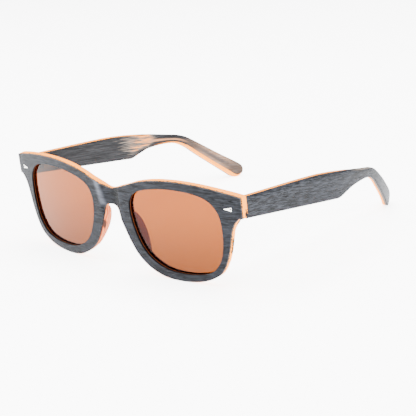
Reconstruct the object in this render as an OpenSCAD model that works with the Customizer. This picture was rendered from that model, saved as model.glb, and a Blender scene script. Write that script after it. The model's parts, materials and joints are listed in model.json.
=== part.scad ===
// Wooden sunglasses: a bent, layered wood front, two folding layered temples on spring hinges.
// The part stands as it would on a table: rim bottoms and temple tips at z = 0, lenses facing -Y.
// Left means the wearer's left, at +X.

/* [Front] */
// Width of each lens opening
lens_w = 50; // [44:0.5:56]
// Height of each lens opening
lens_h = 40.8; // [36:0.2:46]
// Gap between the two lens openings
bridge_gap = 24; // [20:0.5:28]
// Height of the bridge's top edge over the lens centres
bridge_top = 15.7; // [13:0.1:18]
// Height of the bridge at its middle
bridge_h = 7.9; // [6:0.1:11]
// Width of the wood rim round each lens
rim_w = 3.7; // [3:0.1:5]
// Reach of the end piece past the rim
end_reach = 6.8; // [5.5:0.1:9]
// Height of the end piece
end_h = 10; // [8.5:0.1:12]
// Height of the end piece's lower edge over the lens centres
end_low = 9.8; // [6:0.1:12]
// Radius that the front is bent to
front_r = 286; // [200:1:600]
// Forward lean of the standing front, in degrees
lean = 5; // [0:0.5:9]

/* [Front layers] */
// Thickness of the dark veneer on the face
face_t = 0.5; // [0.4:0.1:1]
// Thickness of the pale core
core_t = 3.4; // [3:0.1:5]
// Thickness of the dark veneer on the back
back_t = 0.5; // [0.4:0.1:1]
// Inset of the back veneer from the outer edge of the rims, which is sanded round
back_inset = 2; // [1:0.1:2.4]
// Inset of the back veneer from the edge of the end pieces
end_inset = 0.4; // [0.2:0.1:0.6]
// Inset of the back veneer from the lens openings
back_lens_inset = 0.6; // [0.3:0.1:1]
// Glue line between two layers
glue_t = 0.02; // [0.01:0.01:0.05]
// Radius of the upright scoop in the bridge
scoop_r = 13; // [9:0.5:20]
// Depth of that scoop
scoop_depth = 1.5; // [1:0.1:2]

/* [Lenses] */
// Thickness of a lens
lens_t = 1.8; // [1.5:0.1:2]
// Depth of the lens behind the face
lens_set = 1.4; // [1:0.1:1.6]
// Depth of the groove that holds the lens
groove = 0.8; // [0.5:0.1:1.2]
// Clearance of the lens in its groove
lens_clear = 0.04; // [0.02:0.01:0.1]

/* [Nose pads] */
// Length of a nose pad
pad_l = 23; // [18:0.5:26]
// Depth of a nose pad behind the core
pad_depth = 5.6; // [4:0.1:7]
// Width of a nose pad across the rim
pad_w = 4.4; // [3:0.1:5]
// Drop of a nose pad's middle under the lens centres
pad_drop = 6.2; // [3:0.1:8]
// Inset of a nose pad from the edge of the rim
pad_inset = 0.3; // [0.1:0.1:0.8]
// Least distance of a nose pad from the lens opening
pad_keep = 1.2; // [1.1:0.1:1.8]
// Splay of the pad faces, in degrees
pad_splay = 22; // [10:1:30]

/* [Temples] */
// Distance from hinge axis to the tip end
temple_l = 143.4; // [130:0.1:155]
// Distance from hinge axis to the ear bend
bend_at = 105; // [95:0.5:112]
// Distance from hinge axis to the step in the lower edge
step_at = 70; // [55:0.5:76]
// Height of the upper edge over the hinge axis at the front
temple_over = 4.6; // [3.8:0.1:6]
// Depth of the lower edge under the hinge axis
temple_under = 5.2; // [4.5:0.1:6.5]
// Height of the upper edge at its crown
temple_crown = 8; // [6.5:0.1:10]
// Height of the slim waist before the ear bend
waist_h = 5.2; // [4.5:0.1:7]
// Drop of the tip centre under the hinge axis
tip_drop = 16.7; // [12:0.1:20]
// Radius of the round tip end
tip_r = 4.1; // [3.2:0.1:5]
// Slope of the tip, in degrees
tip_slope = 33; // [25:1:42]
// Distance from hinge axis to the start of the inward bow
bow_at = 60; // [45:1:80]
// Radius of the inward bow
bow_r = 190; // [160:1:400]
// Inset of the temple from the side of the front
temple_inset = 1; // [0.4:0.1:2]
// Gap between the temple's end and the front
butt_gap = 0.25; // [0.2:0.05:0.5]

/* [Temple layers] */
// Thickness of the dark outer veneer
outer_t = 0.6; // [0.4:0.1:1]
// Thickness of the pale core layer
middle_t = 2.1; // [1.6:0.1:3]
// Thickness of the dark layer in the middle
dark_t = 0.6; // [0.4:0.1:1]
// Thickness of the pale inner layer
pale_t = 0.8; // [0.5:0.1:1.2]
// Thickness of the dark inner veneer
inner_t = 0.5; // [0.3:0.1:0.8]

/* [Hinges] */
// Radius of the hinge knuckles
knuckle_r = 1.5; // [1.3:0.05:1.7]
// Height of the moving eye
eye_h = 2.2; // [1.8:0.1:2.6]
// Height of each fixed knuckle
knuckle_h = 1.6; // [1.2:0.1:2]
// Gap between knuckles
knuckle_gap = 0.06; // [0.04:0.01:0.15]
// Radius of the hinge screw
pin_r = 0.6; // [0.5:0.05:0.7]
// Running clearance round the hinge screw
pin_clear = 0.03; // [0.02:0.01:0.06]
// Distance from hinge axis to the temple's inner face
hinge_in = 1.9; // [1.75:0.05:2.5]
// Distance from hinge axis to the back of the front
hinge_back = 3; // [2.8:0.1:3.6]
// Height of the hinge axis middle over the end piece's lower edge
hinge_up = 3.8; // [3.5:0.1:4.6]
// Width of the leaf plate let into the front
leaf_w = 5.2; // [4.6:0.1:6]
// Height of the leaf plate
leaf_h = 6.8; // [6.4:0.1:8]
// Thickness of the leaf plate
leaf_t = 1; // [0.8:0.1:1.4]
// Clearance of the leaf in its recess
leaf_clear = 0.05; // [0.03:0.01:0.1]
// Width of the arms from the leaf plate to its knuckles
arm_w = 2; // [1.6:0.1:2.4]
// Radius of the hinge screw's head
head_r = 1.25; // [1.1:0.05:1.4]
// Height of the hinge screw's head
head_h = 0.7; // [0.5:0.1:0.8]
// Width of the slot in the hinge screw's head
slot_w = 0.35; // [0.25:0.05:0.45]

/* [Spring housings] */
// Length of the housing
housing_l = 10; // [9.8:0.1:12]
// Height of the housing
housing_h = 4.4; // [4:0.1:5]
// Reach of the housing inward from the hinge axis
housing_in = 1.75; // [1.6:0.05:2]
// Distance from hinge axis to the housing's mouth
housing_at = 2.6; // [2.3:0.1:3.2]
// Length of the tail plate
tail_l = 3; // [2.6:0.1:4]
// Thickness of the tail plate
tail_t = 1; // [0.8:0.1:1.4]
// Radius of the housing's peg in the wood
peg_r = 0.7; // [0.5:0.05:0.9]
// Length of that peg
peg_l = 1.7; // [1.4:0.1:2]
// Pull of the spring from rest
spring_pull = 2.2; // [1:0.1:2.6]
// Radius of the slider rod
rod_r = 0.45; // [0.35:0.05:0.5]
// Radius of the spring's bore in the housing
spring_bore_r = 1.15; // [1:0.05:1.3]
// Width of the slider neck
neck_w = 1.6; // [1.2:0.1:1.8]
// Height of the slider neck
neck_h = 1.7; // [1.4:0.1:1.7]
// Length of the slider neck inside the housing
neck_l = 3; // [2.8:0.1:3.4]
// Wall between the slider neck and the spring
spring_wall = 0.6; // [0.5:0.1:0.8]
// Length of the spring when it is pressed together
spring_l = 2.4; // [2.2:0.1:2.5]
// Gap between the pressed spring and the nut
nut_gap = 0.1; // [0.05:0.05:0.2]
// Length of the nut on the slider rod
nut_l = 0.7; // [0.6:0.1:0.8]
// Thickness of the cap that closes the housing
cap_t = 0.8; // [0.6:0.1:0.9]
// Sliding clearance in the housing
slide_clear = 0.05; // [0.03:0.01:0.1]
// Radius of the housing screw
wood_screw_r = 0.55; // [0.4:0.05:0.6]
// Length of the housing screw in the wood
wood_screw_l = 2.8; // [2:0.1:3.4]
// Radius of the housing screw's head
wood_head_r = 1; // [0.9:0.05:1.2]
// Height of the housing screw's head
wood_head_h = 0.6; // [0.4:0.1:0.7]

/* [Rivets] */
// Length of the tapered rivet plate
rivet_l = 4.6; // [4:0.1:5]
// Height of the rivet plate's wide end
rivet_h = 2.1; // [1.8:0.1:3]
// Height of the rivet plate's narrow end
rivet_point = 0.3; // [0.2:0.1:0.8]
// Distance of the rivet plate's middle from the rim
rivet_out = 0.3; // [0:0.1:0.6]
// Height of the plate over the face
rivet_proud = 0.25; // [0.1:0.05:0.4]
// Depth of the plate in the face
rivet_sunk = 0.3; // [0.2:0.05:0.5]
// Radius of the rivet shanks
shank_r = 0.45; // [0.35:0.05:0.5]
// Height of the rivet and the leaf plate over the hinge axis middle
rivet_rise = 0.6; // [0.3:0.1:0.8]
// Clearance of the rivet in the wood
rivet_clear = 0.03; // [0.02:0.01:0.06]

/* [Hidden] */

// Segments of small and of large circles
$fn = 48;
big_fn = 720;
// Points on each span of a smooth outline
span = 5;
// Reach of cutting tools past what they cut
over = 1;
// Size of the tools that cover the whole part
reach = 400;

// Curves through chosen points

// Point on a smooth curve between b and c, with neighbours a and d
function between(a, b, c, d, t) =
    b + (c - a) * t / 2 + (2 * a - 5 * b + 4 * c - d) * t * t / 2
    + (3 * b - a - 3 * c + d) * t * t * t / 2;

// Smooth closed curve
function ring(p) = let (n = len(p)) [
    for (i = [0 : n - 1], k = [0 : span - 1])
        between(p[(i + n - 1) % n], p[i], p[(i + 1) % n], p[(i + 2) % n], k / span)
];

// Smooth open curve, with the points before and after its ends
function path(before, p, after) = let (q = concat([before], p, [after])) [
    for (i = [1 : len(p) - 1], k = [0 : span - 1])
        between(q[i - 1], q[i], q[i + 1], q[i + 2], k / span)
];

// Closed clockwise outline moved outward by d
function grown(p, d) = let (n = len(p)) [
    for (i = [0 : n - 1])
        let (v = p[(i + 1) % n] - p[(i + n - 1) % n])
        p[i] + d * [-v[1], v[0]] / norm(v)
];

// Open curve moved by d to the left of its run
function beside(p, d) = let (n = len(p)) [
    for (i = [0 : n - 1])
        let (v = p[min(i + 1, n - 1)] - p[max(i - 1, 0)])
        p[i] + d * [-v[1], v[0]] / norm(v)
];

function backward(p) = [for (i = [len(p) - 1 : -1 : 0]) p[i]];

// Front outlines, seen from the front, about the point between the lens centres

lens_x = (bridge_gap + lens_w) / 2;
half_w = lens_x + lens_w / 2 + rim_w + end_reach;
end_top = end_low + end_h;
bridge_low = bridge_top - bridge_h;
front_t = face_t + core_t + back_t;

// Point of the lens opening and of the rim, as shares of their half sizes
function on_lens(u, v) = [lens_x + u * lens_w / 2, v * lens_h / 2];
function on_rim(u, v) = [lens_x + u * (lens_w / 2 + rim_w), v * (lens_h / 2 + rim_w)];

opening = ring([
    on_lens(0, 1), on_lens(0.44, 0.965), on_lens(0.76, 0.84), on_lens(0.945, 0.575),
    on_lens(1, 0.22), on_lens(0.985, -0.22), on_lens(0.9, -0.59), on_lens(0.7, -0.865),
    on_lens(0.4, -0.975), on_lens(0.05, -1), on_lens(-0.28, -0.95), on_lens(-0.57, -0.785),
    on_lens(-0.78, -0.53), on_lens(-0.91, -0.2), on_lens(-0.985, 0.14), on_lens(-0.995, 0.48),
    on_lens(-0.895, 0.735), on_lens(-0.67, 0.88), on_lens(-0.34, 0.965)
]);

// Rise of the top edge beside the bridge, and drop of the arch under it
brow_rise = 1.8;
arch_drop = [0.6, 2.5];
// Rise of the top edge over the end piece's corner
end_rise = 1.05;
// Straight and curved parts of the end piece's lower edge
end_flat = 1.7;
end_curve = [4.3, 2.9];
brow = [bridge_gap / 4, bridge_top + brow_rise];
end_corner = [half_w, end_top];
end_foot = [half_w, end_low];
top_edge = path([-brow[0], brow[1]], [
    [0, bridge_top], brow, on_rim(-0.87, 0.813), on_rim(-0.66, 0.9), on_rim(-0.35, 0.975),
    on_rim(0, 1.005), on_rim(0.35, 0.995), on_rim(0.73, 0.945),
    [half_w - end_curve[0], end_top + end_rise], end_corner
], end_corner);
arch = [bridge_gap * 0.13, bridge_low - arch_drop[0]];
low_edge = path(end_foot, [
    end_foot, end_foot - [end_flat, 0], end_foot - end_curve, on_rim(1.035, 0.13), on_rim(1, -0.06),
    on_rim(0.955, -0.295), on_rim(0.885, -0.53), on_rim(0.755, -0.765), on_rim(0.5, -0.925),
    on_rim(0.2, -0.992), on_rim(-0.1, -0.998), on_rim(-0.36, -0.945), on_rim(-0.6, -0.81),
    on_rim(-0.79, -0.61), on_rim(-0.92, -0.37), on_rim(-1, -0.165), on_rim(-1.08, 0.06),
    [bridge_gap / 5, bridge_low - arch_drop[1]], arch, [0, bridge_low]
], [-arch[0], arch[1]]);
// Least distance of a curve's points from the corners
corner_gap = 0.05;
// Share, 0 to 1, of the way that v has gone from a to b
function ramp(v, a, b) = max(0, min(1, (v - a) / (b - a)));
// Inset at a point of the edge: d on the rims, and no more than end_inset on the end piece
function inset_at(q, d) = d + (min(d, end_inset) - d)
    * ramp(q[0], half_w - 2 * end_reach, half_w - end_reach)
    * ramp(q[1], end_low - 2 * end_curve[1], end_low - end_curve[1]);
function inside(p, d) = let (n = len(p)) [
    for (i = [0 : n - 1])
        let (v = p[min(i + 1, n - 1)] - p[max(i - 1, 0)])
        p[i] + inset_at(p[i], d) * [v[1], -v[0]] / norm(v)
];
// Left half of the front's outline, d inside its edge
function half_outline(d) = let (end_d = min(d, end_inset), end_x = half_w - end_d) concat(
    [[0, bridge_top - d]],
    [for (q = inside(top_edge, d)) if (q[0] > corner_gap + d / 2 && q[0] < end_x - corner_gap) q],
    [[end_x, end_top - end_d], [end_x, end_low + end_d]],
    [for (q = inside(low_edge, d)) if (q[0] < end_x - corner_gap) q],
    [[0, bridge_low + d]]
);
function whole_outline(d) = let (half = half_outline(d)) concat(
    half, [for (i = [len(half) - 2 : -1 : 1]) [-half[i][0], half[i][1]]]
);
outline = whole_outline(0);

// Bent surfaces of the front

// Depth of the face behind its foremost line
function face_y(x) = front_r - sqrt(front_r * front_r - x * x);
// Depth of the surface that lies t under the face
function under_y(x, t) = front_r - sqrt((front_r - t) * (front_r - t) - x * x);

// Standing height and the hinge point

stand_z = -min([for (p = outline) face_y(p[0]) * sin(lean) + p[1] * cos(lean)]);
temple_t = outer_t + middle_t + dark_t + pale_t + inner_t;
hinge_x = half_w - temple_inset - temple_t - hinge_in;
hinge_y = under_y(hinge_x, front_t) + hinge_back;
hinge_z = end_low + hinge_up;
hinge_stand_z = hinge_y * sin(lean) + hinge_z * cos(lean) + stand_z;
tip_y = temple_l - tip_r;
tip_away = norm([tip_y, tip_drop]);
// Slope of the temples at which their tips meet the table
pitch = asin((hinge_stand_z - tip_r) / tip_away) - atan2(tip_drop, tip_y);
front_most = min([for (p = outline) face_y(p[0]) * cos(lean) - p[1] * sin(lean)]);
hinge_ahead = hinge_y * cos(lean) - hinge_z * sin(lean);
rear_most = hinge_ahead + tip_y * cos(pitch) - tip_drop * sin(pitch) + tip_r;
middle_y = (front_most + rear_most) / 2;

// Temple outline, seen from the side, about the hinge axis

// Start of the temple, ahead of the front's back so that it can be cut to that
temple_front = -3 * hinge_back;
// Height of the waist's lower edge over the hinge axis
waist_low = 0.8;
// Drops of the upper edge before, at and behind the ear bend
bend_drop = [0.6, 1, 3.7];
// Lengths of the waist before and of the turn behind the ear bend
waist_l = 9;
turn_l = 7;
// Lower edge at the ear bend
heel = [bend_at + 3.2, -1.8];
// Rounding at the lower step
step_round = 0.1;
waist_top = waist_low + waist_h;
turn = [bend_at + turn_l, waist_top - bend_drop[2]];
tip_over = [sin(tip_slope), cos(tip_slope)] * tip_r;
tip_end = [tip_y, -tip_drop];
function toward(a, b, t) = a + (b - a) * t;
upper_edge = path([temple_front - over, temple_over], [
    [temple_front, temple_over], [0, temple_over],
    [step_at * 0.55, toward(temple_over, temple_crown, 0.76)], [step_at * 0.83, temple_crown],
    [toward(step_at, bend_at, 0.23), temple_crown - bend_drop[0]], [bend_at - waist_l, waist_top],
    [bend_at, waist_top - bend_drop[1]], turn, toward(turn, tip_end + tip_over, 0.56), tip_end + tip_over
], tip_end + [tip_r, 0]);
tip_round = [for (a = [90 - tip_slope : -15 : -90 - tip_slope]) tip_end + tip_r * [cos(a), sin(a)]];
lower_edge = path(tip_end - [tip_r, tip_r], [
    tip_end - tip_over, toward(tip_end - tip_over, heel, 0.72), heel, [bend_at - waist_l / 2, waist_low],
    [toward(step_at, bend_at, 0.63), waist_low],
    [toward(step_at, bend_at, 0.36), toward(-temple_under, waist_low, 0.75)],
    [toward(step_at, bend_at, 0.18), toward(-temple_under, waist_low, 0.4)],
    [step_at, -temple_under + step_round]
], [step_at - over, -temple_under]);
temple_outline = concat(
    upper_edge, tip_round, [for (i = [1 : len(lower_edge) - 1]) lower_edge[i]],
    [[step_at, -temple_under + step_round], [step_at - over, -temple_under], [temple_front, -temple_under]]
);

// Placing

module standing() {
    translate([0, -middle_y, stand_z]) rotate([lean, 0, 0]) children();
}

// Frame on the face at x and z: x along the bend, y into the wood
module on_face(x, z) {
    angle = asin(x / front_r);
    translate([x, face_y(x), z]) rotate([0, 0, angle]) children();
}

// Frame of the left hinge's upright axis
module at_axis() {
    translate([hinge_x, hinge_ahead - middle_y, hinge_stand_z]) children();
}

// Frame of the left temple: from the hinge axis, y back along the temple
module at_temple() {
    at_axis() rotate([-pitch, 0, 0]) children();
}

module right() {
    mirror([1, 0, 0]) children();
}

// Front shapes

module through_front(points) {
    translate([0, reach / 8, 0])
        rotate([90, 0, 0])
            linear_extrude(reach / 4)
                polygon(points);
}

// Everything behind the bent surface that lies t under the face
module bent(t) {
    translate([0, front_r, 0]) cylinder(r = front_r - t, h = reach, center = true, $fn = big_fn);
}

// The same with the upright scoop in the bridge
module scooped(t) {
    difference() {
        bent(t);
        translate([0, scoop_depth - scoop_r, 0])
            cylinder(r = scoop_r + t, h = reach / 4, center = true, $fn = 2 * $fn);
    }
}

module layer(from, to) {
    difference() {
        bent(from);
        bent(to);
    }
}

// Both lens openings, d wider all round
module openings(d) {
    through_front(grown(opening, d));
    right() through_front(grown(opening, d));
}

// Lens blank or its groove, d larger all round
module lens_shape(d) {
    intersection() {
        through_front(grown(opening, groove + d));
        layer(lens_set - d, lens_set + lens_t + d);
    }
}

// Rivets and leaf plates

rivet_x = half_w - end_reach + rivet_out;
rivet_z = hinge_z + rivet_rise;
shank_at = [-rivet_l / 8, rivet_l * 3 / 8];

module rivet_plan(d) {
    polygon([
        [-rivet_l / 2 - d, -rivet_point / 2 - d], [-rivet_l / 2 - d, rivet_point / 2 + d],
        [rivet_l / 2 + d, rivet_h / 2 + d], [rivet_l / 2 + d, -rivet_h / 2 - d]
    ]);
}

module shanks(d) {
    on_face(rivet_x, rivet_z)
        for (x = shank_at)
            translate([x, 0, 0])
                rotate([-90, 0, 0])
                    cylinder(r = shank_r + d, h = front_t);
}

module rivet_plate(d) {
    on_face(rivet_x, rivet_z)
        translate([0, rivet_sunk + d, 0])
            rotate([90, 0, 0])
                linear_extrude(rivet_sunk + rivet_proud + d)
                    rivet_plan(d);
}

// Leaf plate let flush into the back, d larger all round
module leaf_plate(d) {
    on_face(rivet_x, rivet_z)
        translate([-leaf_w / 2 - d, front_t - leaf_t - d, -leaf_h / 2 - d])
            cube([leaf_w + 2 * d, leaf_t + 2 * d, leaf_h + 2 * d]);
}

// What the rivets and leaf plates take out of the front
module end_cuts() {
    rivet_plate(rivet_clear);
    shanks(rivet_clear);
    leaf_plate(leaf_clear);
}

module both_end_cuts() {
    end_cuts();
    right() end_cuts();
}

// Nose pads

pad_seat = face_t + core_t;
pad_arc_r = (pad_l * pad_l / 4 + pad_depth * pad_depth) / (2 * pad_depth);
pad_high = on_rim(-1.08, 0.06);
pad_foot = on_rim(-0.79, -0.61);
pad_turn = atan2(pad_high[0] - pad_foot[0], pad_high[1] - pad_foot[1]);
pad_edge = on_rim(-0.96, -0.27);

// Nose side of the rim, from the bridge down
nose_line = path(on_rim(-1.18, 0.3), [
    on_rim(-1.14, 0.24), pad_high, on_rim(-1, -0.165), on_rim(-0.92, -0.37), pad_foot,
    on_rim(-0.67, -0.76), on_rim(-0.5, -0.88)
], on_rim(-0.36, -0.945));

// Band along the nose side of a rim under a lengthwise arc, d larger all round
module pad_blank(d) {
    difference() {
        intersection() {
            through_front(concat(
                beside(nose_line, pad_inset - d), backward(beside(nose_line, pad_inset + pad_w + d))
            ));
            translate([0, pad_seat + pad_depth - pad_arc_r, -pad_drop])
                rotate([0, 90, 0])
                    cylinder(r = pad_arc_r + d, h = lens_x, $fn = 2 * $fn);
            bent(pad_seat + glue_t - d);
        }
        through_front(grown(opening, pad_keep - d));
    }
}

// Space that the splayed pad face leaves for the nose
module nose_side() {
    translate([pad_edge[0], pad_seat, pad_edge[1]])
        rotate([0, pad_turn, 0])
            rotate([0, 0, -pad_splay])
                translate([-reach / 8, -reach / 16, -reach / 8])
                    cube([reach / 8, reach / 8, reach / 4]);
}

// Hinge shapes

eye_top = eye_h / 2;
mouth_end = housing_at + neck_l;
spring_start = mouth_end + slide_clear + spring_wall;
nut_start = spring_start + spring_l + spring_pull + nut_gap;
housing_end = housing_at + housing_l;
screw_at = housing_end + tail_l / 2;
peg_at = housing_at + housing_l / 4;

module knuckle(from) {
    translate([0, 0, from]) cylinder(r = knuckle_r, h = knuckle_h);
    translate([-arm_w / 2, -hinge_back - 2 * leaf_t, from])
        cube([arm_w, hinge_back + 2 * leaf_t, knuckle_h]);
}

module pin_bore() {
    cylinder(r = pin_r + pin_clear, h = reach / 8, center = true);
}

// Cylinder along the temple, from y to y + l
module along(r, y, l) {
    translate([0, y, 0]) rotate([-90, 0, 0]) cylinder(r = r, h = l);
}

module wood_screw_shank(d) {
    translate([hinge_in - tail_t, screw_at, 0])
        rotate([0, 90, 0])
            cylinder(r = wood_screw_r + d, h = tail_t + wood_screw_l + d);
}

module peg(d) {
    translate([hinge_in - tail_t / 2, peg_at, 0])
        rotate([0, 90, 0])
            cylinder(r = peg_r + d, h = tail_t / 2 + peg_l + d);
}

// What the housing and its screw take out of the temple
module housing_cuts() {
    at_temple() {
        wood_screw_shank(slide_clear);
        peg(slide_clear);
    }
}

// Temple shapes, in the frame of the left temple

outer_x = hinge_in + temple_t;

module temple_side() {
    translate([outer_x - reach / 8, 0, 0])
        rotate([90, 0, 90])
            linear_extrude(reach / 8)
                polygon(temple_outline);
}

// Round that the bowed rear of a surface t under the outer face follows
module bow_round(t) {
    translate([outer_x - bow_r, bow_at, 0])
        cylinder(r = bow_r - t, h = reach / 4, center = true, $fn = big_fn);
}

// Straight then bowed layer between two depths under the outer face
module bowed_layer(from, to) {
    translate([outer_x - to, -reach / 8, -reach / 8]) cube([to - from, reach / 8 + bow_at, reach / 4]);
    intersection() {
        difference() {
            bow_round(from);
            bow_round(to);
        }
        translate([outer_x - reach / 8, bow_at, -reach / 8]) cube([reach / 8, reach / 2, reach / 4]);
    }
}

// One layer of the left temple, cut to the back of the front
module temple_layer(from, to) {
    intersection() {
        at_temple()
            intersection() {
                temple_side();
                bowed_layer(from, to);
            }
        standing() bent(front_t + butt_gap);
    }
}

dark_from = outer_t + middle_t;
pale_from = dark_from + dark_t;
inner_from = pale_from + pale_t;

// Wood that the flat-sanded inner face takes off
module sanded_off() {
    at_temple()
        translate([hinge_in - reach / 8, bow_at - over, -reach / 8])
            cube([reach / 8, reach, reach / 4]);
}

// Front pieces

module front_face() {
    color("#4b5057")
        standing()
            difference() {
                intersection() {
                    through_front(outline);
                    difference() {
                        scooped(0);
                        scooped(face_t);
                    }
                }
                openings(0);
                both_end_cuts();
            }
}

module front_core() {
    color("#eab98e")
        standing()
            difference() {
                intersection() {
                    through_front(outline);
                    difference() {
                        scooped(face_t + glue_t);
                        bent(pad_seat);
                    }
                }
                openings(0);
                lens_shape(0);
                right() lens_shape(0);
                both_end_cuts();
            }
}

module front_back() {
    color("#43464b")
        standing()
            difference() {
                intersection() {
                    through_front(whole_outline(back_inset));
                    layer(pad_seat + glue_t, front_t);
                }
                openings(back_lens_inset);
                pad_blank(glue_t);
                right() pad_blank(glue_t);
                both_end_cuts();
            }
}

module lens_left() {
    color("#c98a66", 0.8) standing() lens_shape(-lens_clear);
}

module nose_pad_left() {
    color("#e0a583")
        standing()
            difference() {
                pad_blank(0);
                nose_side();
            }
}

module rivet_left() {
    color("#d8d6d0")
        standing() {
            rivet_plate(0);
            shanks(0);
        }
}

module front_leaf_left() {
    color("#b9b7b0")
        difference() {
            union() {
                standing() leaf_plate(0);
                difference() {
                    at_axis() {
                        knuckle(eye_top + knuckle_gap);
                        knuckle(-eye_top - knuckle_gap - knuckle_h);
                    }
                    standing() layer(-reach / 8, front_t - leaf_t / 2);
                }
            }
            standing() shanks(rivet_clear);
            at_axis() pin_bore();
        }
}

module hinge_screw_left() {
    screw_l = eye_h + 2 * (knuckle_gap + knuckle_h);
    color("#c9c6bd")
        at_axis()
            difference() {
                union() {
                    translate([0, 0, -screw_l / 2]) cylinder(r = pin_r, h = screw_l);
                    translate([0, 0, screw_l / 2]) cylinder(r = head_r, h = head_h);
                }
                translate([-slot_w / 2, -head_r - over, screw_l / 2 + head_h / 2])
                    cube([slot_w, 2 * (head_r + over), head_h]);
            }
}

// Spring hinge pieces

module hinge_eye_left() {
    color("#c2bfb7")
        difference() {
            union() {
                at_axis() cylinder(r = knuckle_r, h = eye_h, center = true);
                at_temple() {
                    translate([-neck_w / 2, 0, -neck_h / 2]) cube([neck_w, mouth_end, neck_h]);
                    along(rod_r, 0, nut_start + nut_l);
                }
            }
            at_axis() pin_bore();
        }
}

module rod_nut_left() {
    color("#a9a69e")
        at_temple()
            difference() {
                along(spring_bore_r - slide_clear, nut_start, nut_l);
                along(rod_r + slide_clear / 2, nut_start - over, nut_l + 2 * over);
            }
}

module spring_left() {
    color("#8f9296")
        at_temple()
            difference() {
                along(spring_bore_r - slide_clear, spring_start, spring_l);
                along(rod_r + 2 * slide_clear, spring_start - over, spring_l + 2 * over);
            }
}

module housing_left() {
    color("#bcb9b1")
        at_temple()
            difference() {
                union() {
                    translate([-housing_in, housing_at, -housing_h / 2])
                        cube([housing_in + hinge_in, housing_l, housing_h]);
                    translate([hinge_in - tail_t, housing_end, -housing_h / 2])
                        cube([tail_t, tail_l, housing_h]);
                    peg(0);
                }
                translate([-neck_w / 2 - slide_clear, 0, -neck_h / 2 - slide_clear])
                    cube([neck_w + 2 * slide_clear, mouth_end + slide_clear, neck_h + 2 * slide_clear]);
                along(rod_r + slide_clear, 0, housing_end);
                along(spring_bore_r, spring_start, housing_end);
                wood_screw_shank(slide_clear);
            }
}

module housing_cap_left() {
    color("#a9a69e") at_temple() along(spring_bore_r - slide_clear / 2, housing_end - cap_t, cap_t);
}

module housing_screw_left() {
    color("#c9c6bd")
        at_temple() {
            wood_screw_shank(0);
            translate([hinge_in - tail_t - wood_head_h, screw_at, 0])
                rotate([0, 90, 0])
                    cylinder(r = wood_head_r, h = wood_head_h);
        }
}

// Temple pieces

module temple_outer_left() {
    color("#62666d") temple_layer(0, outer_t);
}

module temple_middle_left() {
    color("#eab98e")
        difference() {
            temple_layer(outer_t + glue_t, dark_from);
            housing_cuts();
        }
}

module temple_dark_left() {
    color("#4a4d52")
        difference() {
            temple_layer(dark_from + glue_t, pale_from);
            housing_cuts();
        }
}

module temple_pale_left() {
    color("#e3b18a")
        difference() {
            temple_layer(pale_from + glue_t, inner_from);
            sanded_off();
            housing_cuts();
        }
}

module temple_inner_left() {
    color("#54575d")
        difference() {
            temple_layer(inner_from + glue_t, temple_t);
            sanded_off();
            housing_cuts();
        }
}

front_face();
front_core();
front_back();
lens_left();
right() lens_left();  // lens_right
nose_pad_left();
right() nose_pad_left();  // nose_pad_right
rivet_left();
right() rivet_left();  // rivet_right
front_leaf_left();
right() front_leaf_left();  // front_leaf_right
hinge_screw_left();
right() hinge_screw_left();  // hinge_screw_right
hinge_eye_left();
right() hinge_eye_left();  // hinge_eye_right
rod_nut_left();
right() rod_nut_left();  // rod_nut_right
spring_left();
right() spring_left();  // spring_right
housing_left();
right() housing_left();  // housing_right
housing_cap_left();
right() housing_cap_left();  // housing_cap_right
housing_screw_left();
right() housing_screw_left();  // housing_screw_right
temple_outer_left();
right() temple_outer_left();  // temple_outer_right
temple_middle_left();
right() temple_middle_left();  // temple_middle_right
temple_dark_left();
right() temple_dark_left();  // temple_dark_right
temple_pale_left();
right() temple_pale_left();  // temple_pale_right
temple_inner_left();
right() temple_inner_left();  // temple_inner_right
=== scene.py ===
"""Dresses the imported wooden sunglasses: veneers, cores, lenses, nose pads, rivets, hinges and temples."""

import json
import math

import bmesh
import bpy
from mathutils import Matrix, Vector


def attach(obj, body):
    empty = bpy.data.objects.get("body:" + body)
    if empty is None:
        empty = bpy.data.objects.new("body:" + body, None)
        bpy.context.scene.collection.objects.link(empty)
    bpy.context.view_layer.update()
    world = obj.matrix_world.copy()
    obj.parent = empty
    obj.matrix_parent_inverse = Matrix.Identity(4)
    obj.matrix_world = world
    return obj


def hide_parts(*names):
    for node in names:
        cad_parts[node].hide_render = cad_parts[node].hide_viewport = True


bl_info = {
    "name": "Wooden sunglasses",
    "version": (1, 0, 0),
    "blender": (4, 5, 0),
    "location": "View3D > Sidebar > Sunglasses",
    "description": "Builds the veneers, cores, lenses, pads, hinges and temples of wooden sunglasses",
    "category": "Object",
}

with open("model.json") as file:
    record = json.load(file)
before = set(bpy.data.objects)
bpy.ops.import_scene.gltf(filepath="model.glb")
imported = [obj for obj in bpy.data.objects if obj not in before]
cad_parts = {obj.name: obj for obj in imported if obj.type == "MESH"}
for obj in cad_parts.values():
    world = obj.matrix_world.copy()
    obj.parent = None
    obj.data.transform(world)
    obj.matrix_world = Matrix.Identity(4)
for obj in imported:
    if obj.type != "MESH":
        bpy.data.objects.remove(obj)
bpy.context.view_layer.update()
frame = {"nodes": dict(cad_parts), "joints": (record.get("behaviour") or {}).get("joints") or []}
JOINTS = {joint["name"]: joint for joint in frame["joints"]}

# Sizes shared with the solids, in millimetres

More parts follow.
